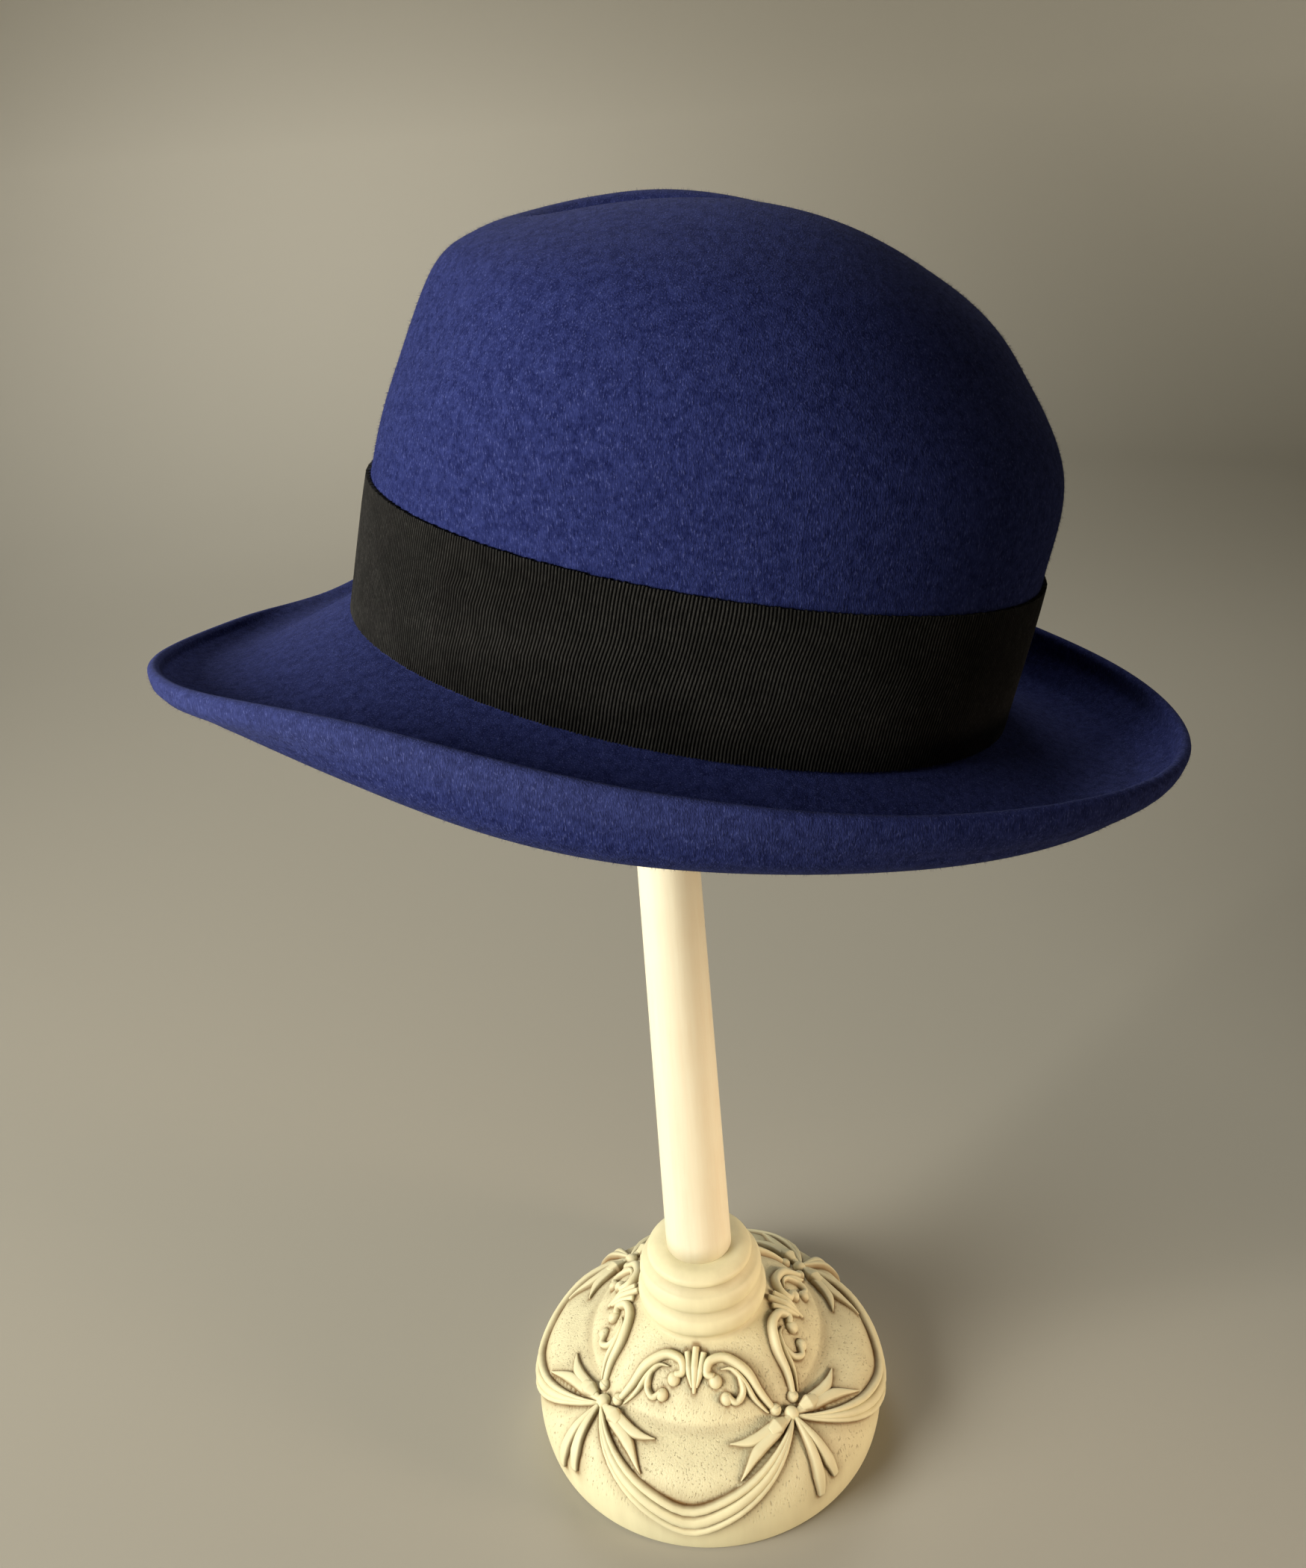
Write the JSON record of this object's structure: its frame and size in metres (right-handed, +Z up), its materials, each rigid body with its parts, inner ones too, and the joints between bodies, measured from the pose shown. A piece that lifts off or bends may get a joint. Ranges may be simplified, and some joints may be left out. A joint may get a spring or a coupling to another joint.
{
  "type": "fedora on a hat stand",
  "caption": "Felt fedora with a dented crown, pinched front, curled brim and ribbed ribbon band, resting on a tapered post stand with a round moulded foot.",
  "frame": {"origin": "middle of the stand's flat underside, on the post's axis", "axes": "+Z up along the post, -Y towards the hat's front, +X towards the wearer's left"},
  "size_m": [0.257, 0.3019, 0.4537],
  "materials": {
    "blue_felt": "brushed wool felt with a short nap, royal blue, fully matte",
    "black_ribbon": "ribbed grosgrain ribbon, black, low sheen",
    "ivory_casting": "cast resin painted ivory, with a brown rubbed glaze in the hollows",
    "ivory_wood": "turned wood painted ivory, satin, with faint brush marks"
  },
  "bodies": {
    "root": {"felt_body": "blue_felt", "ribbon_band": "black_ribbon", "stand_base": "ivory_casting", "stand_post": "ivory_wood", "stand_head": "ivory_wood"}
  },
  "joints": []
}
